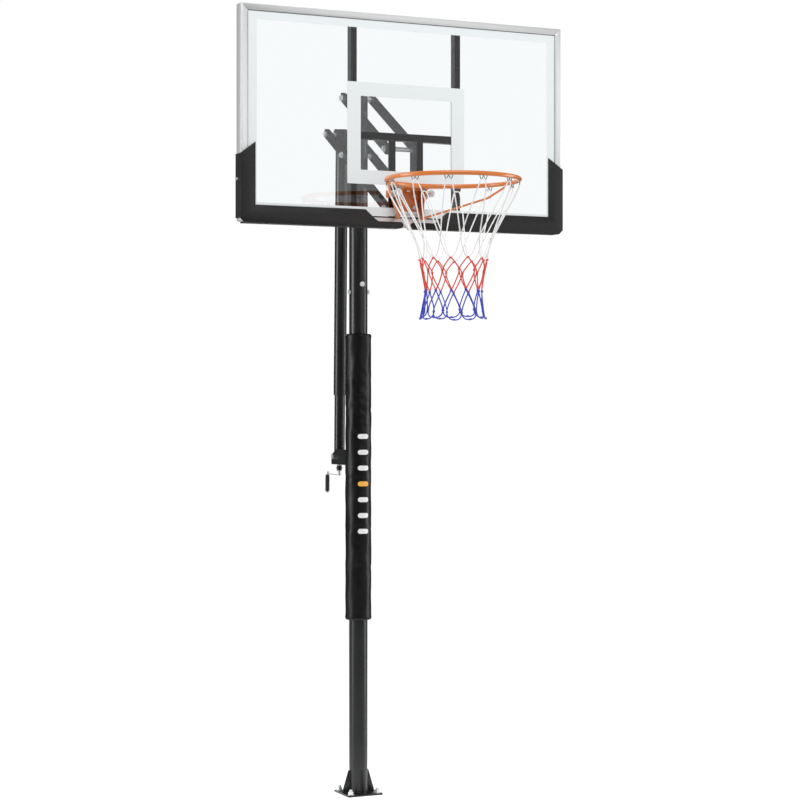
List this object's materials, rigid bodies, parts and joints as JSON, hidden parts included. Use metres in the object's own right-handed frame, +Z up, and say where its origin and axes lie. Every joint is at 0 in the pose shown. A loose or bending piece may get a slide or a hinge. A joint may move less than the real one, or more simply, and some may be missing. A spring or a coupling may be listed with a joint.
{
  "type": "basketball hoop",
  "caption": "Bolt-down basketball hoop with a round padded pole, a clear framed backboard on parallel lifting arms, a crank jack behind the pole and a spring-loaded orange rim with net.",
  "frame": {"origin": "centre of the four anchor bolts at the underside of the foot plate", "axes": "+Z up along the pole, the rim and the board's face point to -Y, +X to the viewer's right when facing the board from the court"},
  "size_m": [1.326, 1.3937, 3.014],
  "materials": {
    "black_steel": "satin powder coat",
    "zinc_steel": "bright zinc plate",
    "aluminium": "satin anodised",
    "clear_panel": "clear polished",
    "black_plastic": "moulded, fine texture",
    "pad_vinyl": "embossed vinyl over foam",
    "orange_steel": "gloss powder coat",
    "nylon": "matt",
    "bronze": "machined",
    "net_white": "braided cord",
    "net_red": "braided cord",
    "net_blue": "braided cord"
  },
  "bodies": {
    "pole": {"anchor_plate": "black_steel", "anchor_gussets": "black_steel", "anchor_bolts": "zinc_steel", "lower_pole": "black_steel", "upper_pole": "black_steel", "pole_cap": "black_plastic", "pole_pad": "pad_vinyl", "pole_joint_bolts": "zinc_steel", "arm_pivot_bolts": "zinc_steel", "arm_pivot_nuts": "zinc_steel", "arm_pivot_spacers": "zinc_steel", "jack_bracket": "black_steel", "jack_foot_pins": "zinc_steel"},
    "lower_arms": {"lower_arm_left": "black_steel", "lower_arm_right": "black_steel", "lower_arm_bushes": "nylon", "jack_top_pins": "zinc_steel"},
    "upper_arms": {"upper_arm_left": "black_steel", "upper_arm_right": "black_steel", "upper_arm_bushes": "nylon"},
    "board": {"backboard_panel": "clear_panel", "frame_top": "aluminium", "frame_bottom": "aluminium", "frame_left": "aluminium", "frame_right": "aluminium", "corner_pad_left": "black_plastic", "corner_pad_right": "black_plastic", "pad_screws": "zinc_steel", "rear_upright_left": "black_steel", "rear_upright_right": "black_steel", "rear_cross_bar": "black_steel", "arm_bracket_left": "black_steel", "arm_bracket_right": "black_steel", "rim_backing_plate": "black_steel", "board_pivot_bolts": "zinc_steel", "board_pivot_nuts": "zinc_steel", "board_pivot_spacers": "zinc_steel", "rim_mount_plate": "orange_steel", "rim_mount_bolts": "zinc_steel", "rim_hinge_pin": "zinc_steel", "rim_spring_posts": "zinc_steel", "rim_springs": "zinc_steel"},
    "rim": {"rim_ring": "orange_steel", "rim_bracket": "orange_steel", "rim_braces": "orange_steel", "net_hooks": "orange_steel", "net_upper": "net_white", "net_middle": "net_red", "net_lower": "net_blue"},
    "jack_lower": {"jack_inner_tube": "black_steel", "jack_bearing": "bronze"},
    "jack_upper": {"jack_outer_tube": "black_steel", "jack_guide_bush": "nylon", "jack_lift_nut": "bronze", "jack_head_bosses": "black_steel"},
    "crank": {"jack_screw": "zinc_steel", "crank_collar": "black_steel", "crank_cross_pin": "zinc_steel", "crank_arm": "zinc_steel"},
    "grip": {"crank_grip": "black_plastic"}
  },
  "joints": [
    {"name": "arms_lift", "type": "hinge", "parent": "pole", "child": "lower_arms", "pos_m": [0, 0, 2.492], "axis": [-1, 0, 0], "range_deg": [-5, 60]},
    {"name": "upper_arms_lift", "type": "hinge", "parent": "pole", "child": "upper_arms", "pos_m": [0, 0, 2.713], "axis": [-1, 0, 0], "range_deg": [-5.5, 60.5]},
    {"name": "board_level", "type": "hinge", "parent": "lower_arms", "child": "board", "pos_m": [0, -0.397, 2.252], "axis": [-1, 0, 0], "range_deg": [-60.5, 5.5]},
    {"name": "jack_swing", "type": "hinge", "parent": "pole", "child": "jack_lower", "pos_m": [0, 0.187, 1.312], "axis": [-1, 0, 0], "range_deg": [-0.2, 1]},
    {"name": "jack_extend", "type": "slide", "parent": "jack_lower", "child": "jack_upper", "axis": [0, -0.0187, 0.9998], "range_m": [-0.1905, 0.0165]},
    {"name": "crank_turn", "type": "hinge", "parent": "jack_lower", "child": "crank", "pos_m": [0, 0.187, 1.312], "axis": [0, -0.0187, 0.9998], "range_deg": [-960, 11460]},
    {"name": "grip_spin", "type": "hinge", "parent": "crank", "child": "grip", "pos_m": [0, 0.30848, 1.23426], "axis": [0, -0.0187, 0.9998], "continuous": true},
    {"name": "rim_flex", "type": "hinge", "parent": "board", "child": "rim", "pos_m": [0, -0.461, 2.233], "axis": [1, 0, 0], "range_deg": [0, 12], "stiffness_Nm_per_rad": 1500, "springref_deg": -20.05}
  ],
  "couplings": [
    {"joint": "upper_arms_lift", "follows": "arms_lift", "ratio": 1},
    {"joint": "board_level", "follows": "arms_lift", "ratio": -1},
    {"joint": "jack_swing", "follows": "arms_lift", "ratio": 0.015124},
    {"joint": "jack_extend", "follows": "arms_lift", "m_per_rad": -0.18142},
    {"joint": "crank_turn", "follows": "arms_lift", "ratio": 189.98}
  ]
}
